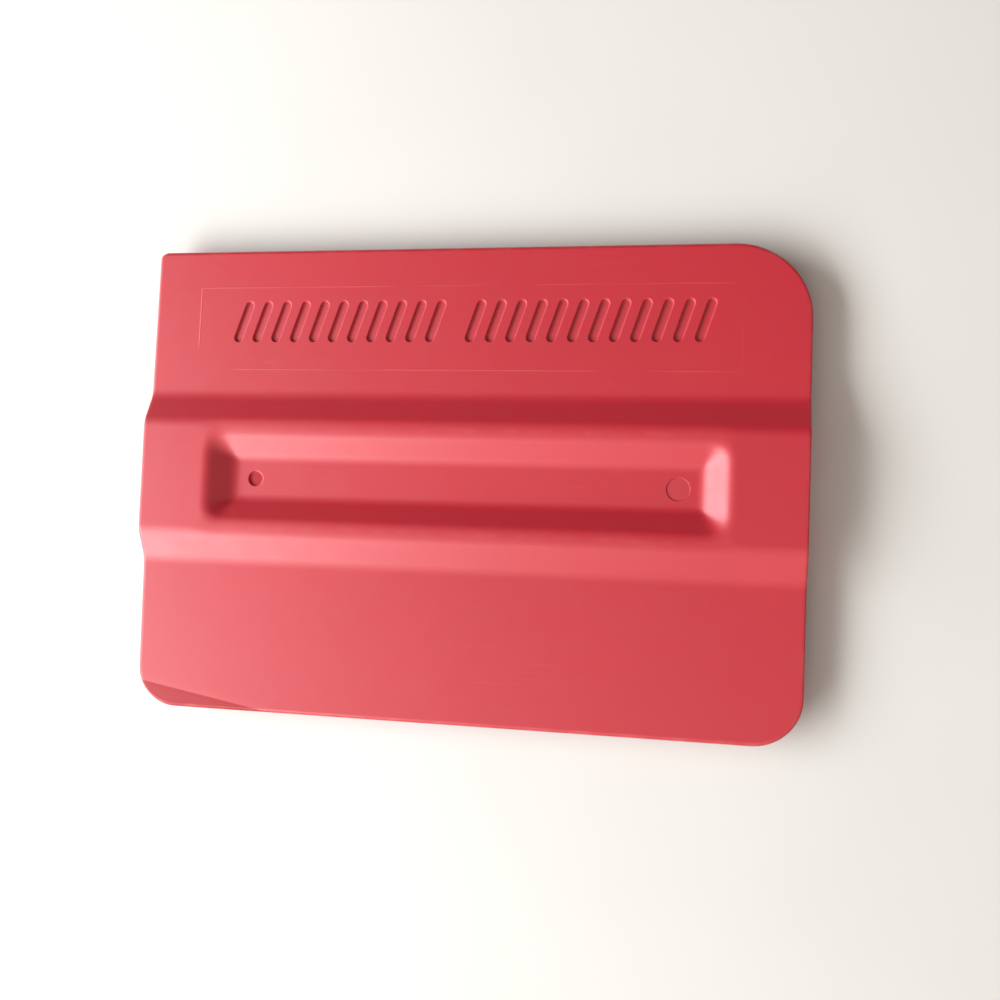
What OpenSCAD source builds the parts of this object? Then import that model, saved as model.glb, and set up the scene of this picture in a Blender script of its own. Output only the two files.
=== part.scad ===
// Magnetic hand squeegee: one moulded card with two thin blades, a grip rib across
// the middle of both faces, and a magnet glued into each end of the rib.
// Millimetres. The origin is the centre of the footprint, on the plane that the rib
// rests on. +X runs along the rib, +Y points to the blade with the grip bars, +Z is up.

/* [Card] */
// Length of the card along the rib
card_length = 100; // [94:1:120]
// Width of the card from one blade edge to the other
card_width = 71; // [68:1:90]
// Thickness of a blade along its outer edge
edge_thickness = 1.2; // [0.9:0.1:1.5]
// Thickness of a blade where it meets the rib
root_thickness = 2.1; // [2:0.1:2.5]

/* [Corners] */
// Radius of the far left corner, the sharp one that reaches into seams
sharp_corner_radius = 1.2; // [0.8:0.1:3]
// Radius of the far right corner, the widest one
wide_corner_radius = 11; // [8:0.5:14]
// Radius of the near right corner
near_right_radius = 7; // [4:0.5:9]
// Radius of the near left corner, which is also thinned
near_left_radius = 6; // [4:0.5:9]
// How far the thinned corner runs along the blade edge
thinned_length = 19; // [12:0.5:24]
// How far the thinned corner runs up the short side
thinned_reach = 3.3; // [2:0.1:5]
// Slope of the thinned corner against the blade, in degrees
thinned_slope = 4; // [3:0.5:10]

/* [Rib] */
// Thickness through the rib, from resting face to top face
rib_thickness = 6.5; // [6.2:0.1:7.5]
// Width of the rib across its feet
rib_foot_width = 25.4; // [24:0.2:28]
// Width of the flat on top of the rib
rib_top_width = 16.8; // [16.6:0.1:18]
// Radius of the concave curve along each foot
foot_radius = 3; // [0.6:0.1:3.4]

/* [Finger slot] */
// Length of the finger slot at the top of the rib
slot_length = 78.4; // [70:0.2:79]
// Width of the finger slot at the top of the rib
slot_width = 13.6; // [12:0.1:16]
// Depth of the finger slot in each face
slot_depth = 2.3; // [2.3:0.2:2.5]
// Length of the slot's flat floor
floor_length = 70.8; // [60:0.2:71]
// Width of the slot's flat floor
floor_width = 6.2; // [5:0.1:8]
// Radius of the slot's corners at the top of the rib
slot_corner_radius = 3.4; // [2:0.1:3.6]

/* [Magnets] */
// Diameter of each magnet
magnet_diameter = 4; // [3:0.5:4.5]
// Length of each magnet
magnet_length = 8; // [5:0.5:8]
// Bevel around both ends of a magnet
magnet_bevel = 0.25; // [0.1:0.05:0.4]
// Gap around a magnet, which holds the glue
glue_gap = 0.03; // [0.02:0.01:0.08]
// Bevel at the mouth of each magnet bore
mouth_bevel = 0.3; // [0.1:0.05:0.4]

/* [Grip bars] */
// Number of places for a slanted bar in the far blade, in one even row
bar_count = 24; // [12:1:28]
// Place that stays empty, which parts the row into two groups
empty_place = 11; // [0:1:27]
// Width of one bar
bar_width = 1.3; // [0.8:0.1:1.4]
// Height of the row of bars
bar_row_height = 6.3; // [4:0.1:7]
// Length of the row of bars
bar_row_length = 73.5; // [70:0.5:76]
// Distance from the card's middle to the middle of the row
bar_row_offset = 24.3; // [22:0.1:26]
// Lean of the bars from upright, in degrees
bar_lean = 18; // [0:1:25]
// Depth of the bars
bar_depth = 0.35; // [0.1:0.05:0.4]

/* [Moulding marks] */
// Diameter of the gate mark at the left of each slot floor
gate_diameter = 2.3; // [1:0.1:2.5]
// Depth of the gate marks
gate_depth = 0.3; // [0.1:0.05:0.4]
// Diameter of the ejector marks
ejector_diameter = 3.4; // [2:0.1:4.5]
// Depth of the ejector marks
ejector_depth = 0.12; // [0.05:0.01:0.2]
// Distance from the card's middle to a mark in the slot floor
floor_mark_offset = 32; // [20:0.1:33]
// Distance between the ejector marks on the back, along the rib
back_mark_spacing = 74; // [40:1:76]
// Distance from the card's middle to the ejector marks on the back, across the rib
back_mark_offset = 24.3; // [18:0.1:28]

/* [Hidden] */
$fn = 64;
overlap = 1;
half_length = card_length / 2;
half_width = card_width / 2;
mid_height = rib_thickness / 2;
nose_radius = edge_thickness / 2;
nose_offset = half_width - nose_radius;
foot_offset = rib_foot_width / 2;
foot_height = root_thickness / 2;
top_offset = rib_top_width / 2;
blade_taper = atan((foot_height - nose_radius) / (nose_offset - foot_offset));
rib_slope = atan((mid_height - foot_height) / (foot_offset - top_offset));
foot_turn = rib_slope - blade_taper;
foot_tangent = foot_radius * tan(foot_turn / 2);
magnet_radius = magnet_diameter / 2;
bore_radius = magnet_radius + glue_gap;
bar_pitch = bar_row_length / bar_count;
bar_span = (bar_row_height - bar_width) / cos(bar_lean);

// Two-dimensional section of half the card, from the rib's middle to the blade's edge.
// Its first axis is the card's Y and its second is the height above mid thickness.
module half_section() {
    slope_start = [foot_offset - foot_tangent * cos(rib_slope),
                   foot_height + foot_tangent * sin(rib_slope)];
    blade_start = [foot_offset + foot_tangent * cos(blade_taper),
                   foot_height - foot_tangent * sin(blade_taper)];
    curve_centre = blade_start + foot_radius * [sin(blade_taper), cos(blade_taper)];
    upper = [[0, mid_height], [top_offset, mid_height], slope_start, blade_start,
             [nose_offset, nose_radius], [half_width, nose_radius]];
    lower = [for (i = [len(upper) - 1 : -1 : 0]) [upper[i][0], -upper[i][1]]];
    difference() {
        polygon(concat(upper, lower));
        for (side = [1, -1]) {
            translate([curve_centre[0], side * curve_centre[1]]) circle(foot_radius);
            corner_waste([nose_offset, 0], nose_radius, 1, side);
        }
    }
}

// Plan outline of the card, a rectangle with four different round corners.
module outline() {
    difference() {
        square([card_length, card_width], center = true);
        outline_waste(sharp_corner_radius, -1, 1);
        outline_waste(wide_corner_radius, 1, 1);
        outline_waste(near_right_radius, 1, -1);
        outline_waste(near_left_radius, -1, -1);
    }
}

// What rounding takes away from one corner of the outline, on the given sides of the middle.
module outline_waste(radius, side_x, side_y) {
    centre = [side_x * (half_length - radius), side_y * (half_width - radius)];
    corner_waste(centre, radius, side_x, side_y);
}

// What is left of a square corner outside its rounding, whose arc has the given centre.
module corner_waste(centre, radius, side_x, side_y) {
    reach = radius + overlap;
    translate(centre)
        difference() {
            translate([side_x > 0 ? 0 : -reach, side_y > 0 ? 0 : -reach]) square(reach);
            circle(radius);
        }
}

// Extrudes a section drawn in Y and Z along the whole length given, centred on X.
module along_rib(length) {
    rotate([90, 0, 90]) linear_extrude(length, center = true) children();
}

// Section of the finger slot's walls: floor width below, mouth width above.
module slot_section(floor_size, mouth_size) {
    run = (mouth_size - floor_size) / 2 * (slot_depth + overlap) / slot_depth;
    polygon([[-floor_size / 2, 0], [floor_size / 2, 0],
             [floor_size / 2 + run, slot_depth + overlap],
             [-floor_size / 2 - run, slot_depth + overlap]]);
}

// Finger slot of the top face: four sloped walls and a flat floor.
module finger_slot() {
    translate([0, 0, rib_thickness - slot_depth])
        intersection() {
            along_rib(card_length) slot_section(floor_width, slot_width);
            rotate([90, 0, 0])
                linear_extrude(card_width, center = true) slot_section(floor_length, slot_length);
            linear_extrude(slot_depth + overlap) slot_mouth();
        }
}

// Plan outline of the finger slot's mouth.
module slot_mouth() {
    straight_x = slot_length - 2 * slot_corner_radius;
    straight_y = slot_width - 2 * slot_corner_radius;
    square([slot_length, straight_y], center = true);
    square([straight_x, slot_width], center = true);
    for (side_x = [-1, 1])
        for (side_y = [-1, 1])
            translate([side_x * straight_x / 2, side_y * straight_y / 2]) circle(slot_corner_radius);
}

// Shallow round mark, cut from above at height zero.
module round_mark(diameter, depth) {
    translate([0, 0, -depth]) cylinder(h = depth + overlap, d = diameter);
}

// Gate mark and ejector mark in the floor of the top slot.
module floor_marks() {
    translate([0, 0, rib_thickness - slot_depth]) {
        translate([-floor_mark_offset, 0, 0]) round_mark(gate_diameter, gate_depth);
        translate([floor_mark_offset, 0, 0]) round_mark(ejector_diameter, ejector_depth);
    }
}

// Places children on the top surface of a blade, at the given distance from the middle.
// side is 1 for the far blade and -1 for the near one.
module on_blade(side, offset_y) {
    surface_height = foot_height - (offset_y - foot_offset) * tan(blade_taper);
    translate([0, side * offset_y, mid_height + surface_height])
        rotate([-side * blade_taper, 0, 0])
            children();
}

// Two groups of slanted bars sunk into the far blade, each bar with round ends.
module grip_bars() {
    on_blade(1, bar_row_offset)
        for (i = [0 : bar_count - 1])
            if (i != empty_place)
                translate([(i - (bar_count - 1) / 2) * bar_pitch, 0, -bar_depth])
                    grip_bar();
}

// One slanted bar, cut from its depth upwards.
module grip_bar() {
    linear_extrude(bar_depth + overlap)
        rotate(-bar_lean) {
            square([bar_width, bar_span], center = true);
            for (end = [-1, 1])
                translate([0, end * bar_span / 2]) circle(d = bar_width);
        }
}

// Wedge that thins the near left corner from above.
module corner_thinning() {
    on_blade(-1, nose_offset)
        translate([-half_length, thinned_reach, 0])
            rotate([0, 0, -atan(thinned_reach / thinned_length)])
                rotate([thinned_slope, 0, 0])
                    translate([-thinned_length / 2, -thinned_length, 0])
                        cube([2 * thinned_length, thinned_length, thinned_length]);
}

// Ejector marks on the back of both blades.
module back_marks() {
    for (side_x = [-1, 1])
        for (side_y = [-1, 1])
            on_blade(side_y, back_mark_offset)
                translate([side_x * back_mark_spacing / 2, 0, 0])
                    round_mark(ejector_diameter, ejector_depth);
}

// Turns what is made for the top face over to the bottom face, end for end.
module on_back() {
    translate([0, 0, rib_thickness]) rotate([0, 180, 0]) children();
}

// Blind bore for one magnet, open at the end face; side is 1 right, -1 left.
module magnet_bore(side) {
    translate([side * half_length, 0, mid_height])
        rotate([0, side * 90, 0]) {
            translate([0, 0, -magnet_length]) cylinder(h = magnet_length + overlap, r = bore_radius);
            translate([0, 0, -mouth_bevel])
                cylinder(h = 2 * mouth_bevel, r1 = bore_radius, r2 = bore_radius + 2 * mouth_bevel);
        }
}

// One magnet, flush with its end face; side is 1 right, -1 left.
module magnet(side) {
    rim = magnet_radius - magnet_bevel;
    translate([side * half_length, 0, mid_height])
        rotate([0, side * 90, 0])
            rotate_extrude()
                polygon([[0, -magnet_length], [rim, -magnet_length],
                         [magnet_radius, magnet_bevel - magnet_length],
                         [magnet_radius, -magnet_bevel], [rim, 0], [0, 0]]);
}

// The moulded card: both blades and the grip rib in one piece.
module card_body() {
    color("crimson")
        difference() {
            intersection() {
                translate([0, 0, mid_height])
                    along_rib(card_length)
                        for (side = [0, 1]) mirror([side, 0]) half_section();
                linear_extrude(rib_thickness) outline();
            }
            finger_slot();
            on_back() finger_slot();
            floor_marks();
            on_back() floor_marks();
            grip_bars();
            corner_thinning();
            on_back() back_marks();
            for (side = [-1, 1]) magnet_bore(side);
        }
}

// Magnet in the left end of the rib.
module magnet_left() {
    color("silver") magnet(-1);
}

// Magnet in the right end of the rib.
module magnet_right() {
    color("silver") magnet(1);
}

card_body();
magnet_left();
magnet_right();
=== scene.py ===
"""Looks of the magnetic hand squeegee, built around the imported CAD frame.

Lengths in the mesh code are millimetres, in the part's frame. They turn into metres
where a mesh, a camera or a light is made. Heights in a profile count from mid thickness.
"""

import math

import bpy
import numpy as np
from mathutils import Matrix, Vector


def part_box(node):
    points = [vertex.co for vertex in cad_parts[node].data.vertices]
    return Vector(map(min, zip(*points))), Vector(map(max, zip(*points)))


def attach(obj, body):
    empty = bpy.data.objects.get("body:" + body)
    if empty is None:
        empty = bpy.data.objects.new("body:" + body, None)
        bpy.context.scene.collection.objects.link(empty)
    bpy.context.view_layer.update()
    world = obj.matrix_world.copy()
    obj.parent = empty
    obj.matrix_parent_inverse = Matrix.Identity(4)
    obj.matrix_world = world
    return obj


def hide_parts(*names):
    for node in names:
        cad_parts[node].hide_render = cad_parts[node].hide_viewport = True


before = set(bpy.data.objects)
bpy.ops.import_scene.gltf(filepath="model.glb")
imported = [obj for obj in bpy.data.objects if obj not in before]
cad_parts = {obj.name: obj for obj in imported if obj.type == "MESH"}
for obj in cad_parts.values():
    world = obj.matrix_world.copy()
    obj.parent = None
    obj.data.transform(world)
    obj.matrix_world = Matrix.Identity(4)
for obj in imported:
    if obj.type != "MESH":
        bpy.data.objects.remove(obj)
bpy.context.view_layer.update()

MM = 0.001

# Overall size, from the frame
BODY_LOW, BODY_HIGH = (np.array(corner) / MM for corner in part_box("card_body"))
CENTRE_X, CENTRE_Y, MID_HEIGHT = (BODY_LOW + BODY_HIGH) / 2
HALF_LENGTH, HALF_WIDTH, HALF_RIB = (BODY_HIGH - BODY_LOW) / 2
MAGNET_LOW, MAGNET_HIGH = (np.array(corner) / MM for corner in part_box("magnet_right"))
MAGNET_LENGTH, MAGNET_DIAMETER = (MAGNET_HIGH - MAGNET_LOW)[:2]

# Section of the card
EDGE_HALF = 0.6
FOOT_HALF = 1.05
FOOT_OFFSET = 12.7
LAND_OFFSET = 8.4
FOOT_BLEND = 0.45
LAND_BLEND = 0.45
CREST_BLEND = 1.8

# Plan outline: corner radii by side of the middle
CORNER_RADII = {(-1, 1): 1.2, (1, 1): 11.0, (1, -1): 7.0, (-1, -1): 6.0}
THIN_LENGTH = 19.0
THIN_REACH = 3.3
THIN_SLOPE = math.radians(4)
THIN_BLEND = 0.06

# Finger slot, in both faces
SLOT_HALF = np.array([39.2, 6.8])
FLOOR_HALF = np.array([35.4, 3.1])
SLOT_DEPTH = 2.3
FLOOR_BLEND = 0.45
CORNER_POWER = 2.7

# Two groups of slanted bars in the far blade, which share one even row of places
BAR_COUNT = 24
EMPTY_PLACE = 11
BAR_PITCH = 73.5 / BAR_COUNT
BAR_WIDTH = 1.3
BAR_HEIGHT = 6.3
BAR_ROW_Y = 24.3
BAR_LEAN = math.radians(18)
BAR_DEPTH = 0.35
BAR_CELL_HALF = 0.98
BAR_MARGIN = 0.45
LEAN_FADE_X = (37, 47)
LEAN_FADE_Y = 5.5

# Moulding marks
MARK_CLEARANCE = 0.4
MARK_X = 32.0
GATE_RADIUS = 1.15
EJECTOR_RADIUS = 1.7
GATE_DEPTH = 0.3
EJECTOR_DEPTH = 0.12
BACK_MARK_X = 37.0

# Rim of the card and its parting line
RIM = 0.6
SHORT_SIDE_RIM = 0.28
BEAD = 0.03
BEAD_HALF = 0.05
RIM_STEPS = 5
RIM_START = 0.02
FLAT_MIN = 0.08

# Magnets and their bores
BORE_GAP = 0.03
MOUTH_BEVEL = 0.3
MAGNET_ROUND = 0.22
MAGNET_ROUND_STEPS = 5
MAGNET_SECTORS = 64


def tangent(rise, run):
    """Slope of a straight stretch."""
    return rise / run


TAPER = tangent(FOOT_HALF - EDGE_HALF, HALF_WIDTH - EDGE_HALF - FOOT_OFFSET)
RIB_SLOPE = tangent(HALF_RIB - FOOT_HALF, FOOT_OFFSET - LAND_OFFSET)


def smooth_min(a, b, blend):
    """The lower of two heights, rounded where they cross."""
    near = np.maximum(blend - np.abs(a - b), 0)
    return np.minimum(a, b) - near * near / (4 * blend)


def smooth_max(a, b, blend):
    """The higher of two heights, rounded where they cross."""
    return -smooth_min(-a, -b, blend)


def blade_profile(y):
    """Height of a blade's face, as if it ran on under the rib."""
    return FOOT_HALF - (np.abs(y) - FOOT_OFFSET) * TAPER


def outer_profile(y):
    """Height of the card's face, as if the rib's outer slopes ran on up to its middle."""
    slope = FOOT_HALF + (FOOT_OFFSET - np.abs(y)) * RIB_SLOPE
    return smooth_max(blade_profile(y), slope, FOOT_BLEND)


def slot_profile(x, y):
    """Height of the finger slot's floor and of its walls, which go on rising outside it."""
    reach = (np.abs(np.stack([x, y])).T - FLOOR_HALF) / (SLOT_HALF - FLOOR_HALF)
    outside = (np.maximum(reach, 0) ** CORNER_POWER).sum(axis=-1) ** (1 / CORNER_POWER)
    inside = np.minimum(reach.max(axis=-1), 0)
    walls = (SLOT_DEPTH * (outside + inside)).T
    return HALF_RIB - SLOT_DEPTH + smooth_max(walls, 0.0, FLOOR_BLEND)


def back_height(x, y):
    """Height of either face over mid thickness, without what only the top face has."""
    crests = smooth_min(outer_profile(y), slot_profile(x, y), CREST_BLEND)
    return smooth_min(crests, HALF_RIB, LAND_BLEND)


def thinning(x, y):
    """How far a point lies inside the thinned near left corner, square to its edge line."""
    length = math.hypot(THIN_LENGTH, THIN_REACH)
    from_edge = x + HALF_LENGTH
    from_line = y + HALF_WIDTH - EDGE_HALF - THIN_REACH
    return -(from_edge * THIN_REACH + from_line * THIN_LENGTH) / length


def top_height(x, y):
    """Height of the top face over mid thickness."""
    depth = thinning(x, y)
    drop = np.where(depth > -1, math.tan(THIN_SLOPE) * depth, -HALF_RIB)
    return smooth_min(back_height(x, y), blade_profile(y) - drop, THIN_BLEND)


def crest_wear(x, y):
    """Share of wear along the crests of the rib, from 0 to 1."""
    outer = outer_profile(y)
    crest = np.clip(1 - np.abs(outer - slot_profile(x, y)) / CREST_BLEND * 2.5, 0, 1)
    return crest * np.clip((HALF_RIB + CREST_BLEND / 2 - outer) / LAND_BLEND, 0, 1)


class Shell:
    """Points in millimetres and faces of one mesh, with two masks on its points."""

    def __init__(self):
        self.points = np.zeros((0, 3))
        self.masks = np.zeros((0, 2))
        self.faces = []

    def add(self, points, wear=0.0, recess=0.0):
        """Adds points and returns their numbers, in the shape that the points came in."""
        points = np.asarray(points, float)
        flat = points.reshape(-1, 3)
        first = len(self.points)
        masks = np.zeros((len(flat), 2))
        masks[:, 0] = np.ravel(wear)
        masks[:, 1] = np.ravel(recess)
        self.points = np.vstack([self.points, flat])
        self.masks = np.vstack([self.masks, masks])
        return np.arange(first, first + len(flat)).reshape(points.shape[:-1])

    def join(self, ring, inner):
        """Faces between two rings that run counter-clockwise, from the outer to the inner."""
        after, inner_after = np.roll(ring, -1), np.roll(inner, -1)
        self.faces += np.stack([ring, after, inner_after, inner], axis=1).tolist()

    def sheet(self, grid, holes=(), upward=True):
        """Faces over a grid of point numbers, but for the blocks of cells in holes."""
        for i in range(grid.shape[0] - 1):
            for j in range(grid.shape[1] - 1):
                if any(a <= i < b and c <= j < d for a, b, c, d in holes):
                    continue
                face = [grid[i, j], grid[i + 1, j], grid[i + 1, j + 1], grid[i, j + 1]]
                self.faces.append([int(k) for k in (face if upward else face[::-1])])

    def build(self, name):
        """The finished mesh object, in metres, without the points that no face uses."""
        used = np.zeros(len(self.points), bool)
        for face in self.faces:
            used[face] = True
        number = np.cumsum(used) - 1
        mesh = bpy.data.meshes.new(name)
        faces = [[int(number[k]) for k in face] for face in self.faces]
        mesh.from_pydata((self.points[used] * MM).tolist(), [], faces)
        mesh.polygons.foreach_set("use_smooth", [True] * len(mesh.polygons))
        for column, mask in enumerate(("wear", "recess")):
            layer = mesh.attributes.new(mask, "FLOAT", "POINT")
            layer.data.foreach_set("value", self.masks[used][:, column].astype(np.float32))
        mesh.update()
        piece = bpy.data.objects.new(name, mesh)
        bpy.context.scene.collection.objects.link(piece)
        return piece


def perimeter(grid, block):
    """Point numbers round a block of cells, counter-clockwise with i to the right and j up."""
    a, b, c, d = block
    loop = [grid[i, c] for i in range(a, b)]
    loop += [grid[b, j] for j in range(c, d)]
    loop += [grid[i, d] for i in range(b, a, -1)]
    loop += [grid[a, j] for j in range(d, c, -1)]
    return np.array(loop)


def grid_lines(stops):
    """Positions of grid lines through the stops, each a place and the widest step after it."""
    lines = []
    for (start, step), (end, _) in zip(stops, stops[1:]):
        count = max(1, math.ceil((end - start) / step - 0.01))
        lines += [start + (end - start) * i / count for i in range(count)]
    return np.array(lines + [stops[-1][0]])


def block_around(lines, low, high):
    """First and last line of the smallest block of cells that holds low to high."""
    first = np.searchsorted(lines, low, "right") - 1
    return int(first), int(np.searchsorted(lines, high, "left"))


# Grid of the card's faces: its half size, its blocks and its widest steps
GRID_HALF_X = HALF_LENGTH - RIM - BEAD
GRID_HALF_Y = HALF_WIDTH - RIM - BEAD
BAR_CENTRES = [(i - (BAR_COUNT - 1) / 2) * BAR_PITCH for i in range(BAR_COUNT)]
BAR_BLOCK_LOW = BAR_ROW_Y - BAR_HEIGHT / 2 - BAR_MARGIN
BAR_BLOCK_HIGH = BAR_ROW_Y + BAR_HEIGHT / 2 + BAR_MARGIN
FINE, MEDIUM, WIDE = 0.25, 0.4, 1.3
END_STEP = 0.75
RIM_STEP_X, RIM_STEP_Y = 0.15, 0.12
SLOT_END_X = 41.5
THIN_TOP_Y = -31.0


def lines_x():
    """Grid lines across the card's length, fine at the bars, the slot's ends and the rim."""
    bars = []
    for centre in BAR_CENTRES:
        bars += [(centre - BAR_CELL_HALF, MEDIUM), (centre + BAR_CELL_HALF, BAR_PITCH / 4)]
    last = BAR_CENTRES[-1] + BAR_CELL_HALF
    ends = [(last, MEDIUM), (SLOT_END_X, END_STEP), (GRID_HALF_X - RIM, RIM_STEP_X),
            (GRID_HALF_X, 0)]
    left = [(-place, step) for (place, _), (_, step) in zip(ends[:0:-1], ends[-2::-1])]
    return grid_lines(left + bars[:-1] + ends)


def lines_y():
    """Grid lines across the card's width, fine where the section bends."""
    rib = [(2.0, FINE), (4.4, MEDIUM), (5.6, FINE), (9.8, MEDIUM), (11.2, FINE), (14.2, WIDE)]
    near = [(-place, step) for (place, _), (_, step) in zip(rib[::-1], rib[-2::-1])]
    near_edge = [(-GRID_HALF_Y, RIM_STEP_Y), (-GRID_HALF_Y + RIM, 0.45), (THIN_TOP_Y, WIDE)]
    far_edge = [(BAR_BLOCK_LOW, 0.6), (BAR_BLOCK_HIGH, WIDE), (GRID_HALF_Y - RIM, RIM_STEP_Y),
                (GRID_HALF_Y, 0)]
    return grid_lines(near_edge + near + [(-2.0, MEDIUM)] + rib + far_edge)


def fade(value, full, gone):
    """1 up to full, 0 from gone on, and a smooth fall between."""
    t = np.clip((gone - value) / (gone - full), 0, 1)
    return t * t * (3 - 2 * t)


def sheared(x, y):
    """Slants the grid's lines along the bars, and lets the slant die out round them."""
    half = BAR_HEIGHT / 2 + BAR_MARGIN
    lean = math.tan(BAR_LEAN) * np.clip(y - BAR_ROW_Y, -half, half)
    dies = fade(np.abs(y - BAR_ROW_Y), half, half + LEAN_FADE_Y)
    dies = dies * fade(np.abs(x), *LEAN_FADE_X)
    return x + lean * dies, y


def rounded(x, y):
    """Bends the corners of the grid's rectangle to the card's corner arcs."""
    x, y = x.copy(), y.copy()
    for (side_x, side_y), radius in CORNER_RADII.items():
        inner = radius - RIM - BEAD
        a = side_x * x - (GRID_HALF_X - inner)
        b = side_y * y - (GRID_HALF_Y - inner)
        here = (a > 0) & (b > 0)
        reach = np.maximum(a, b)[here]
        small = np.minimum(a, b)[here] / reach * math.pi / 4
        turn = np.where(a[here] >= b[here], small, math.pi / 2 - small)
        x[here] = side_x * (GRID_HALF_X - inner + reach * np.cos(turn))
        y[here] = side_y * (GRID_HALF_Y - inner + reach * np.sin(turn))
    return x, y


def outward(x, y):
    """Unit directions out of the card at points of the grid's border."""
    way = np.stack([np.where(np.abs(x) > GRID_HALF_X - 1e-6, np.sign(x), 0.0),
                    np.where(np.abs(y) > GRID_HALF_Y - 1e-6, np.sign(y), 0.0)], axis=1)
    for (side_x, side_y), radius in CORNER_RADII.items():
        inner = radius - RIM - BEAD
        from_x = x - side_x * (GRID_HALF_X - inner)
        from_y = y - side_y * (GRID_HALF_Y - inner)
        here = (side_x * from_x > 0) & (side_y * from_y > 0)
        way[here] = np.stack([from_x, from_y], axis=1)[here]
    return way / np.linalg.norm(way, axis=1, keepdims=True)


def sink(shell, loop, plane, place, centre, half_axis, radius, profile):
    """Fills a hole in a sheet with a round-ended recess, ring by ring.

    plane gives the hole's border points in two dimensions, place turns such points and
    a depth into points in space, half_axis is half the recess's straight length, and
    profile lists the rings: offset from the outline, depth, wear and recess masks.
    """
    border = plane(shell.points[loop])
    along = np.asarray(half_axis, float)
    share = (border - centre) @ along / max(along @ along, 1e-9)
    near = centre + np.clip(share, -1, 1)[:, None] * along
    out = border - near
    out /= np.linalg.norm(out, axis=1, keepdims=True)
    ring = loop
    for offset, depth, wear, recess in profile:
        inner = shell.add(place(near + out * (radius + offset), depth), wear, recess)
        shell.join(ring, inner)
        ring = inner
    shell.faces.append([int(k) for k in ring])


def recess_profile(depth, edge, core):
    """Rings of a recess with rounded edges: a flat collar, a rounded lip, a wall and a floor."""
    turns = [math.radians(angle) for angle in (0, 30, 60, 90)]
    # The recess mask rises towards a recess's floor; the red plastic paints it darker there, as
    # painted shade.
    rings = [(2.2 * edge, 0.0, 0.0, 0.0)]
    rings += [(edge * (1 - math.sin(t)), edge * (1 - math.cos(t)), 0.5, 0.2) for t in turns]
    rings += [(-edge * (1 - math.sin(t)), depth - edge * (1 - math.cos(t)), 0.0, 0.9)
              for t in turns[::-1]]
    rings += [(-2.2 * edge, depth, 0.0, 1.0), (-core, depth, 0.0, 1.0)]
    return rings


def face_grid(shell, lines, height, side, slanted):
    """Points of the top face (side 1) or the back (side -1), and their grid of numbers."""
    x, y = (grid.ravel() for grid in np.meshgrid(*lines, indexing="ij"))
    if slanted:
        x, y = sheared(x, y)
    x, y = rounded(x, y)
    z = side * height(x, y)
    points = np.stack([x, y, z], axis=1).reshape(len(lines[0]), len(lines[1]), 3)
    return shell.add(points, wear=crest_wear(x, y))


def on_face(height, side):
    """How sink places points on a face: their height less the depth."""
    def place(flat, depth):
        z = side * (height(flat[:, 0], flat[:, 1]) - depth)
        return np.column_stack([flat, z])
    return place


def sink_in_face(shell, grid, lines, height, side, centre, half_axis, radius, reach, depth):
    """Sinks one recess into a face and returns the block of cells that it takes."""
    half_x, half_y = reach
    block = (*block_around(lines[0], centre[0] - half_x, centre[0] + half_x),
             *block_around(lines[1], centre[1] - half_y, centre[1] + half_y))
    loop = perimeter(grid, block)
    edge = depth * 0.3
    sink(shell, loop if side > 0 else loop[::-1], lambda p: p[:, :2], on_face(height, side),
         np.array(centre), half_axis, radius, recess_profile(depth, edge, radius - 0.2))
    return block


def top_face(shell, lines):
    """The top face, with its bars and moulding marks. Returns its grid of point numbers."""
    grid = face_grid(shell, lines, top_height, 1, slanted=True)
    span = (BAR_HEIGHT - BAR_WIDTH) / 2
    bar_axis = (span * math.tan(BAR_LEAN), span)
    bar_reach = (BAR_CELL_HALF - 0.05, BAR_HEIGHT / 2 + BAR_MARGIN - 0.05)
    holes = [sink_in_face(shell, grid, lines, top_height, 1, (centre, BAR_ROW_Y), bar_axis,
                          BAR_WIDTH / 2, bar_reach, BAR_DEPTH)
             for place, centre in enumerate(BAR_CENTRES) if place != EMPTY_PLACE]
    marks = ((-MARK_X, GATE_RADIUS, GATE_DEPTH), (MARK_X, EJECTOR_RADIUS, EJECTOR_DEPTH))
    for x, radius, depth in marks:
        reach = (radius + MARK_CLEARANCE, radius + MARK_CLEARANCE)
        holes.append(sink_in_face(shell, grid, lines, top_height, 1, (x, 0.0), (0, 0), radius,
                                  reach, depth))
    shell.sheet(grid, holes)
    return grid


def back_face(shell, lines):
    """The back face, with its moulding marks. Returns its grid of point numbers."""
    grid = face_grid(shell, lines, back_height, -1, slanted=False)
    marks = [(MARK_X, 0.0, GATE_RADIUS, GATE_DEPTH), (-MARK_X, 0.0, EJECTOR_RADIUS, EJECTOR_DEPTH)]
    marks += [(side_x * BACK_MARK_X, side_y * BAR_ROW_Y, EJECTOR_RADIUS, EJECTOR_DEPTH)
              for side_x in (-1, 1) for side_y in (-1, 1)]
    holes = [sink_in_face(shell, grid, lines, back_height, -1, (x, y), (0, 0), radius,
                          (radius + MARK_CLEARANCE, radius + MARK_CLEARANCE), depth)
             for x, y, radius, depth in marks]
    shell.sheet(grid, holes, upward=False)
    return grid


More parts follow.
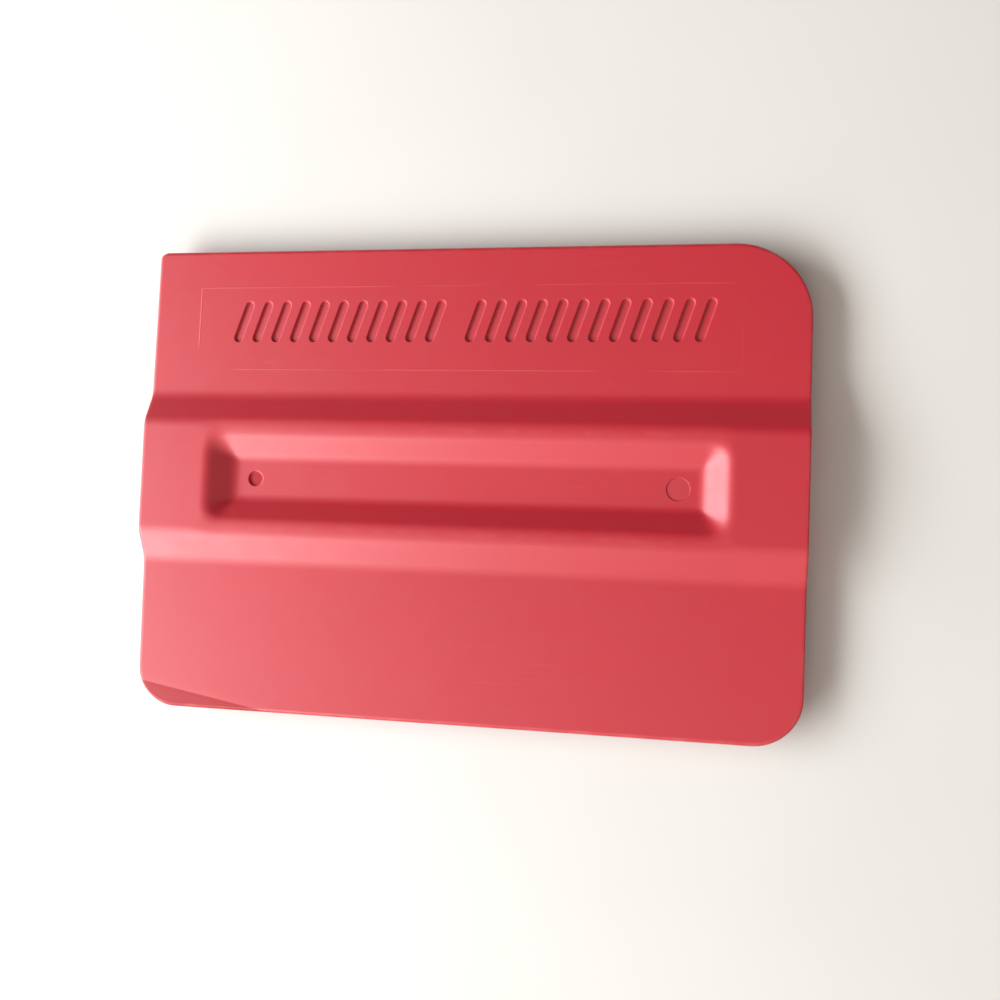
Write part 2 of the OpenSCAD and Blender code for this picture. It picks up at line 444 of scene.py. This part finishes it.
def rim_rows(top, back, way):
    """Rows of points down the card's rim, from under the top's border to over the back's."""
    rows = []
    turns = [math.pi / 2 * k / RIM_STEPS for k in range(RIM_STEPS + 1)]
    radius = SHORT_SIDE_RIM + (RIM - SHORT_SIDE_RIM) * way[:, 1] ** 2
    upper = np.minimum(radius, top[:, 2] - FLAT_MIN)
    lower = np.minimum(radius, -back[:, 2] - FLAT_MIN)

    def row(out, height):
        flat = top[:, :2] + way * np.broadcast_to(out, len(way))[:, None]
        rows.append(np.column_stack([flat, np.broadcast_to(height, len(way))]))

    for turn in turns:
        row(RIM - radius * (1 - math.sin(turn)) + (turn == 0) * RIM_START,
            top[:, 2] - upper * (1 - math.cos(turn)))
    for share in (0.25, 0.5, 0.75, 1.0):
        row(RIM, (top[:, 2] - upper) * (1 - share) + BEAD_HALF * share)
    row(RIM + BEAD, np.zeros(len(top)))
    for share in (0.0, 0.25, 0.5, 0.75):
        row(RIM, -BEAD_HALF * (1 - share) + (back[:, 2] + lower) * share)
    for turn in turns[::-1]:
        row(RIM - radius * (1 - math.sin(turn)) + (turn == 0) * RIM_START,
            back[:, 2] + lower * (1 - math.cos(turn)))
    return rows


def bore_profile():
    """Rings of a magnet bore: a bevelled mouth, a straight wall and a flat end."""
    # The recess masks here paint the bore darker towards its end, as painted shade.
    return [(MOUTH_BEVEL + 0.08, 0.0, 0.0, 0.0), (MOUTH_BEVEL, 0.0, 0.6, 0.0),
            (0.0, MOUTH_BEVEL, 0.6, 0.2), (-0.001, MOUTH_BEVEL + 0.06, 0.0, 0.6),
            (0.0, MAGNET_LENGTH, 0.0, 1.0), (-1.2, MAGNET_LENGTH, 0.0, 1.0)]


def rim(shell, top_grid, back_grid):
    """Closes the card between its faces, with a bore for a magnet in each short side."""
    whole = (0, top_grid.shape[0] - 1, 0, top_grid.shape[1] - 1)
    top_loop, back_loop = perimeter(top_grid, whole), perimeter(back_grid, whole)
    top, back = shell.points[top_loop], shell.points[back_loop]
    way = outward(top[:, 0], top[:, 1])
    rows = [top_loop]
    rows += [shell.add(points, wear=1.0) for points in rim_rows(top, back, way)]
    rows.append(back_loop)
    wall = np.array(rows[::-1]).T
    wall = np.vstack([wall, wall[:1]])
    flat_low, flat_high = RIM_STEPS + 1, len(rows) - 2 - RIM_STEPS
    bore = MAGNET_DIAMETER / 2 + BORE_GAP
    holes = []
    for side in (-1, 1):
        reach = bore + MOUTH_BEVEL + 0.35
        near = (side * way[:, 0] > 0.9) & (np.abs(top[:, 1]) < reach)
        columns = np.flatnonzero(near)
        block = (int(columns[0]), int(columns[-1]), flat_low, flat_high)
        end = side * (HALF_LENGTH - BEAD)
        sink(shell, perimeter(wall, block), lambda p: p[:, 1:],
             lambda flat, depth: np.column_stack([np.full(len(flat), end - side * depth), flat]),
             np.zeros(2), (0, 0), bore, bore_profile())
        holes.append(block)
    shell.sheet(wall, holes)


def card():
    """The moulded card as one closed mesh."""
    shell = Shell()
    lines = (lines_x(), lines_y())
    rim(shell, top_face(shell, lines), back_face(shell, lines))
    shell.points += [CENTRE_X, CENTRE_Y, MID_HEIGHT]
    return shell.build("card_moulding")


class Graph:
    """The nodes of a material or a world, with short ways to add and link them."""

    def __init__(self, owner, shader="Principled BSDF", place="Object"):
        self.owner = owner
        owner.use_nodes = True
        self.tree = owner.node_tree
        self.shader = self.tree.nodes[shader]
        self.place = self.node("ShaderNodeTexCoord").outputs[place]

    def node(self, kind, inputs=(), **settings):
        """Adds a node. An input is a number, or another node's socket to link to."""
        made = self.tree.nodes.new(kind)
        for name, value in settings.items():
            setattr(made, name, value)
        self.feed(made, dict(inputs))
        return made

    def feed(self, node, inputs):
        """Sets or links a node's inputs by name or number."""
        for name, value in inputs.items():
            if isinstance(value, bpy.types.NodeSocket):
                self.tree.links.new(value, node.inputs[name])
            else:
                node.inputs[name].default_value = value

    def math(self, operation, *values):
        """A Math node's result."""
        return self.node("ShaderNodeMath", enumerate(values), operation=operation).outputs[0]

    def ramp(self, value, low, high):
        """A smooth rise from 0 at low to 1 at high. It falls when high is the lower one."""
        inputs = {"Value": value, "From Min": low, "From Max": high}
        return self.node("ShaderNodeMapRange", inputs, interpolation_type="SMOOTHSTEP").outputs[0]

    def noise(self, size, detail=2.0):
        """Noise whose patches are about the given size across, in metres."""
        inputs = {"Vector": self.place, "Scale": 1 / size, "Detail": detail}
        return self.node("ShaderNodeTexNoise", inputs).outputs["Fac"]

    def mask(self, name):
        """A mask that the mesh holds."""
        return self.node("ShaderNodeAttribute", attribute_name=name).outputs["Fac"]

    def mix(self, share, first, second):
        """A colour between two others."""
        made = self.node("ShaderNodeMix", data_type="RGBA")
        for name, value in zip(("Factor_Float", "A_Color", "B_Color"), (share, first, second)):
            socket = next(s for s in made.inputs if s.identifier == name)
            if isinstance(value, bpy.types.NodeSocket):
                self.tree.links.new(value, socket)
            else:
                socket.default_value = value
        return next(s for s in made.outputs if s.identifier == "Result_Color")

    def bump(self, height, strength, distance, under=None):
        """A bump from a height, laid over the bump under it."""
        inputs = {"Height": height, "Strength": strength, "Distance": distance}
        if under is not None:
            inputs["Normal"] = under
        return self.node("ShaderNodeBump", inputs).outputs["Normal"]

    def scratches(self, angle, width, length, share):
        """Fine straight scratches at an angle, as a mask of thin lines in loose patches."""
        scale = (1 / length, 1 / width, 1 / length)
        turned = self.node("ShaderNodeMapping", {
            "Vector": self.place, "Rotation": (0, 0, angle), "Scale": scale})
        lines = self.node("ShaderNodeTexNoise", {
            "Vector": turned.outputs[0], "Scale": 1.0, "Detail": 1.0}).outputs["Fac"]
        patches = self.ramp(self.noise(11 * MM), 0.5, 0.62)
        return self.math("MULTIPLY", self.ramp(lines, 1 - share, 1.04 - share), patches)


def plane_distance(graph, direction, offset):
    """Distance in front of a plane, in metres, from its direction and offset in millimetres."""
    dot = graph.node("ShaderNodeVectorMath", {0: graph.place, 1: direction},
                     operation="DOT_PRODUCT")
    return graph.math("SUBTRACT", dot.outputs["Value"], offset * MM)


# Colours, as linear red, green and blue
RED = (0.536, 0.0135, 0.029, 1)
DEEP_RED = (0.463, 0.011, 0.024, 1)
# Lighter red of worn edges and scuffs, also used for the painted highlight along the insert line
WORN_AND_SHEEN_RED = (0.65, 0.1, 0.1, 1)
# Darker red: painted shade on the thinned corner, and the torn plastic in the gate marks
CORNER_SHADE_AND_GATE_RED = (0.36, 0.009, 0.014, 1)
NICKEL = (0.7, 0.67, 0.61, 1)
NICKEL_DULL = (0.42, 0.4, 0.37, 1)
FLOOR_WHITE = (0.765, 0.75, 0.713, 1)
FLOOR_GREY = (0.746, 0.732, 0.695, 1)

# Roughness of the red plastic, between its smoothest and its roughest patches
SMOOTHEST, ROUGHEST = 0.395, 0.49

# Outline left by the mould insert round the bars, as centre and half size in millimetres
INSERT_CENTRE = (-1.0, 23.3)
INSERT_HALF = (41.5, 6.4)
INSERT_LINE = 0.16


def ground_corner(graph):
    """Mask of the thinned corner on the top face."""
    length = math.hypot(THIN_LENGTH, THIN_REACH)
    normal = (-THIN_REACH / length, -THIN_LENGTH / length, 0)
    corner = (-HALF_LENGTH + THIN_LENGTH, -HALF_WIDTH + EDGE_HALF)
    offset = normal[0] * corner[0] + normal[1] * corner[1]
    upper = plane_distance(graph, (0, 0, 1), MID_HEIGHT)
    inside = graph.ramp(plane_distance(graph, normal, offset), -0.1 * MM, 0.15 * MM)
    return graph.math("MULTIPLY", inside, graph.math("GREATER_THAN", upper, 0.0))


def insert_line(graph):
    """Mask of the fine line round the mould insert that holds the bars, broken here and there."""
    sides = []
    for axis in (0, 1):
        direction = tuple(float(k == axis) for k in range(3))
        away = graph.math("ABSOLUTE", plane_distance(graph, direction, INSERT_CENTRE[axis]))
        sides.append(graph.math("SUBTRACT", away, INSERT_HALF[axis] * MM))
    gap = graph.math("ABSOLUTE", graph.math("MAXIMUM", *sides))
    line = graph.ramp(gap, INSERT_LINE * MM, INSERT_LINE * MM / 4)
    upper = graph.math("GREATER_THAN", plane_distance(graph, (0, 0, 1), MID_HEIGHT), 0.0)
    broken = graph.ramp(graph.noise(16 * MM, 1.0), 0.38, 0.56)
    return graph.math("MULTIPLY", graph.math("MULTIPLY", line, upper), broken)


def gate_pit(graph):
    """Mask of the torn plastic in the two gate marks, one in the floor of each slot."""
    masks = []
    for side in (1, -1):
        centre = (-side * MARK_X * MM, 0, 0)
        flat = graph.node("ShaderNodeVectorMath", {0: graph.place, 1: (1, 1, 0)},
                          operation="MULTIPLY")
        away = graph.node("ShaderNodeVectorMath", {0: flat.outputs[0], 1: centre},
                          operation="DISTANCE").outputs["Value"]
        half = graph.ramp(plane_distance(graph, (0, 0, side), side * MID_HEIGHT), 0.0, 0.1 * MM)
        pit = graph.ramp(away, GATE_RADIUS * MM, 0.7 * GATE_RADIUS * MM)
        masks.append(graph.math("MULTIPLY", half, pit))
    return graph.math("MAXIMUM", *masks)


def red_plastic():
    """Satin moulded plastic: blasted mould grain, faint flow marks, scuffs and worn edges, with
    painted shade in the recesses and on the thinned corner and a painted highlight along the
    insert line.
    """
    graph = Graph(bpy.data.materials.new("satin_red_plastic"))
    mottle = graph.noise(3.5 * MM, 4.0)
    flow = graph.noise(24 * MM, 2.0)
    grain = graph.noise(0.16 * MM, 2.0)
    speck = graph.ramp(graph.noise(0.45 * MM, 1.0), 0.66, 0.74)
    scuffs = graph.math("MAXIMUM", graph.scratches(0.5, 0.09 * MM, 9 * MM, 0.3),
                        graph.scratches(-0.9, 0.07 * MM, 7 * MM, 0.3))
    wear = graph.math("MULTIPLY", graph.mask("wear"), graph.ramp(mottle, 0.42, 0.7))
    recess = graph.mask("recess")
    ground = ground_corner(graph)
    insert = insert_line(graph)
    gate = gate_pit(graph)

    streaks = graph.math("MULTIPLY", graph.ramp(flow, 0.3, 0.75), 0.35)
    colour = graph.mix(streaks, RED, DEEP_RED)
    clouds = graph.math("MULTIPLY", graph.ramp(mottle, 0.3, 0.7), 0.22)
    colour = graph.mix(clouds, colour, DEEP_RED)
    # Painted shade: the recess mask paints recesses darker towards their floors.
    colour = graph.mix(graph.math("MULTIPLY", recess, 0.55), colour, DEEP_RED)
    # Painted shade: the thinned corner is painted darker, for shade that its slope does not give;
    # its duller gloss below is its real finish.
    colour = graph.mix(graph.math("MULTIPLY", ground, 0.85), colour, CORNER_SHADE_AND_GATE_RED)
    colour = graph.mix(graph.math("MULTIPLY", gate, 0.6), colour, CORNER_SHADE_AND_GATE_RED)
    wear_and_sheen_marks = graph.math("MAXIMUM", graph.math("MULTIPLY", wear, 0.3),
                             graph.math("MULTIPLY", scuffs, 0.1))
    # Painted highlight: the insert line is painted lighter, as a sheen along it; its bump below is
    # real.
    wear_and_sheen_marks = graph.math("MAXIMUM", wear_and_sheen_marks, graph.math("MULTIPLY", insert, 0.3))
    colour = graph.mix(wear_and_sheen_marks, colour, WORN_AND_SHEEN_RED)

    rough = graph.node("ShaderNodeMapRange", {
        "Value": mottle, "To Min": SMOOTHEST, "To Max": ROUGHEST}).outputs[0]
    for mask, amount in ((wear, -0.06), (recess, 0.12), (scuffs, 0.08), (speck, 0.05),
                         (gate, 0.2)):
        rough = graph.math("MULTIPLY_ADD", mask, amount, rough)
    dull = graph.math("MAXIMUM", graph.math("MULTIPLY", ground, 0.6),
                      graph.math("MULTIPLY", gate, 0.5))
    gloss = graph.math("MULTIPLY_ADD", dull, -1.0, 1.0)

    normal = graph.bump(flow, 0.35, 0.12 * MM)
    normal = graph.bump(grain, 0.22, 0.012 * MM, normal)
    normal = graph.bump(scuffs, 0.25, -0.008 * MM, normal)
    normal = graph.bump(insert, 0.5, 0.03 * MM, normal)
    graph.feed(graph.shader, {"Base Color": colour, "Roughness": rough, "Normal": normal,
                              "Specular IOR Level": gloss})
    return graph.owner


def magnet_plating():
    """Nickel plating: fine scratches, scratched rims and duller patches."""
    graph = Graph(bpy.data.materials.new("nickel_plating"))
    patches = graph.noise(1.1 * MM, 3.0)
    scratches = graph.math("MAXIMUM", graph.ramp(graph.noise(0.12 * MM, 1.0), 0.6, 0.68),
                           graph.math("MULTIPLY", graph.mask("wear"), 0.6))
    dull = graph.ramp(patches, 0.45, 0.7)
    colour = graph.mix(graph.math("MULTIPLY", dull, 0.6), NICKEL, NICKEL_DULL)
    rough = graph.math("MULTIPLY_ADD", dull, 0.2, 0.18)
    rough = graph.math("MULTIPLY_ADD", scratches, 0.12, rough)
    normal = graph.bump(scratches, 0.3, 0.006 * MM)
    graph.feed(graph.shader, {"Base Color": colour, "Roughness": rough, "Normal": normal,
                              "Metallic": 1.0})
    return graph.owner


def floor_paint():
    """Plain pale floor with a faint unevenness."""
    graph = Graph(bpy.data.materials.new("pale_floor"))
    cloud = graph.noise(45 * MM, 3.0)
    colour = graph.mix(graph.ramp(cloud, 0.35, 0.7), FLOOR_WHITE, FLOOR_GREY)
    normal = graph.bump(graph.noise(1.2 * MM, 3.0), 0.1, 0.03 * MM)
    graph.feed(graph.shader, {"Base Color": colour, "Normal": normal, "Roughness": 0.6})
    return graph.owner


def magnet(side):
    """One magnet as a turned solid with rounded rims; side is 1 right, -1 left."""
    shell = Shell()
    radius, rim_round = MAGNET_DIAMETER / 2, MAGNET_ROUND
    steps, sectors = MAGNET_ROUND_STEPS, MAGNET_SECTORS
    turns = [math.pi / 2 * k / steps for k in range(steps + 1)]
    face = [(r, 0.0, 0.0) for r in (0.25 * radius, 0.6 * radius, radius - 1.6 * rim_round)]
    face += [(radius - rim_round * (1 - math.sin(t)), rim_round * (1 - math.cos(t)), 1.0)
             for t in turns]
    profile = face + [(r, MAGNET_LENGTH - depth, wear) for r, depth, wear in face[::-1]]
    angles = np.linspace(0, 2 * math.pi, sectors, endpoint=False)
    rings = []
    for r, depth, wear in profile:
        x = np.full(sectors, side * (HALF_LENGTH - depth))
        rings.append(shell.add(np.column_stack([x, r * np.cos(angles), r * np.sin(angles)]), wear))
    if side < 0:
        rings = rings[::-1]
    for first, second in zip(rings, rings[1:]):
        shell.join(second, first)
    shell.faces.append([int(k) for k in rings[0]])
    shell.faces.append([int(k) for k in rings[-1][::-1]])
    shell.points += [CENTRE_X, CENTRE_Y, MID_HEIGHT]
    return shell.build("magnet_disc_right" if side > 0 else "magnet_disc_left")


def place_piece(piece, material, node):
    """Gives a piece its material and its body, and hides the CAD node that it stands for."""
    piece.data.materials.append(material)
    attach(piece, "root")
    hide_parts(node)


place_piece(card(), red_plastic(), "card_body")
plating = magnet_plating()
place_piece(magnet(-1), plating, "magnet_left")
place_piece(magnet(1), plating, "magnet_right")


# Half side of the floor, in metres
FLOOR_HALF_SIZE = 4.0
# Camera: lens and sensor in millimetres, nearest visible distance in metres, place in
# millimetres and turn in radians, almost straight above and tipped towards the left
CAMERA_LENS = 39.6
CAMERA_SENSOR = 36
CAMERA_NEAR_LIMIT = 0.01
CAMERA_PLACE = (38.07, -9.92, 161.84)
CAMERA_TURN = (0.0487, 0.1986, 0.0287)


def add_object(name, data):
    """A new object in the scene."""
    made = bpy.data.objects.new(name, data)
    bpy.context.scene.collection.objects.link(made)
    return made


def add_floor():
    """The plain floor that the card lies on."""
    half = FLOOR_HALF_SIZE
    mesh = bpy.data.meshes.new("floor")
    corners = [(-half, -half, 0), (half, -half, 0), (half, half, 0), (-half, half, 0)]
    mesh.from_pydata(corners, [], [(0, 1, 2, 3)])
    mesh.materials.append(floor_paint())
    add_object("floor", mesh)


def add_camera():
    """The camera, at the photograph's viewing angle."""
    camera = add_object("camera", bpy.data.cameras.new("camera"))
    camera.data.lens = CAMERA_LENS
    camera.data.sensor_width = CAMERA_SENSOR
    camera.data.clip_start = CAMERA_NEAR_LIMIT
    camera.location = Vector(CAMERA_PLACE) * MM
    camera.rotation_mode = "ZYX"
    camera.rotation_euler = CAMERA_TURN
    bpy.context.scene.camera = camera


# Key light: a broad window, low on the left and a little to the near side
KEY_TURN = math.radians(17.5)
KEY_RISE = math.radians(30.6)
KEY_DISTANCE = 0.5
KEY_WIDTH = math.radians(74.7)
KEY_HEIGHT = math.radians(25.4)
KEY_IRRADIANCE = 7.34
KEY_COLOUR = (0.97, 1.0, 1.03)
# Room light: its strength straight up, how it falls off towards the right and the far
# side, the least that is left, its colour, and the even band near the floor with the
# heights between which it ends
ROOM_LIGHT = 0.406
ROOM_FALL = (-0.543, -1.68, 0.0)
ROOM_DARKEST = 0.02
ROOM_COLOUR = (1.12, 1.0, 0.92, 1)
HORIZON_LIGHT = 0.4
HORIZON_RISE = (0.12, 0.45)


def room():
    """The light of a pale room: an even band near the floor, brighter at the near side above."""
    graph = Graph(bpy.data.worlds.new("room"), "Background", "Generated")
    fall = graph.node("ShaderNodeVectorMath", {0: graph.place, 1: ROOM_FALL},
                      operation="DOT_PRODUCT")
    upper = graph.math("MAXIMUM", graph.math("ADD", fall.outputs["Value"], 1.0), ROOM_DARKEST)
    rise = graph.node("ShaderNodeSeparateXYZ", {0: graph.place}).outputs["Z"]
    share = graph.ramp(rise, *HORIZON_RISE)
    above = graph.math("MULTIPLY_ADD", upper, ROOM_LIGHT, -HORIZON_LIGHT)
    strength = graph.math("MULTIPLY_ADD", above, share, HORIZON_LIGHT)
    graph.feed(graph.shader, {"Color": ROOM_COLOUR, "Strength": strength})
    return graph.owner


def add_lights():
    """One window and the even light of a pale room."""
    lamp = add_object("window", bpy.data.lights.new("window", "AREA"))
    flat = math.cos(KEY_RISE)
    way = Vector((-flat * math.cos(KEY_TURN), -flat * math.sin(KEY_TURN), math.sin(KEY_RISE)))
    lamp.location = way * KEY_DISTANCE
    lamp.rotation_mode = "QUATERNION"
    lamp.rotation_quaternion = way.to_track_quat("Z", "Y")
    lamp.data.shape = "RECTANGLE"
    lamp.data.size = 2 * KEY_DISTANCE * math.tan(KEY_WIDTH / 2)
    lamp.data.size_y = 2 * KEY_DISTANCE * math.tan(KEY_HEIGHT / 2)
    lamp.data.color = KEY_COLOUR
    lamp.data.energy = KEY_IRRADIANCE * math.pi * KEY_DISTANCE ** 2
    bpy.context.scene.world = room()
    bpy.context.scene.view_settings.view_transform = "Standard"


add_floor()
add_camera()
add_lights()
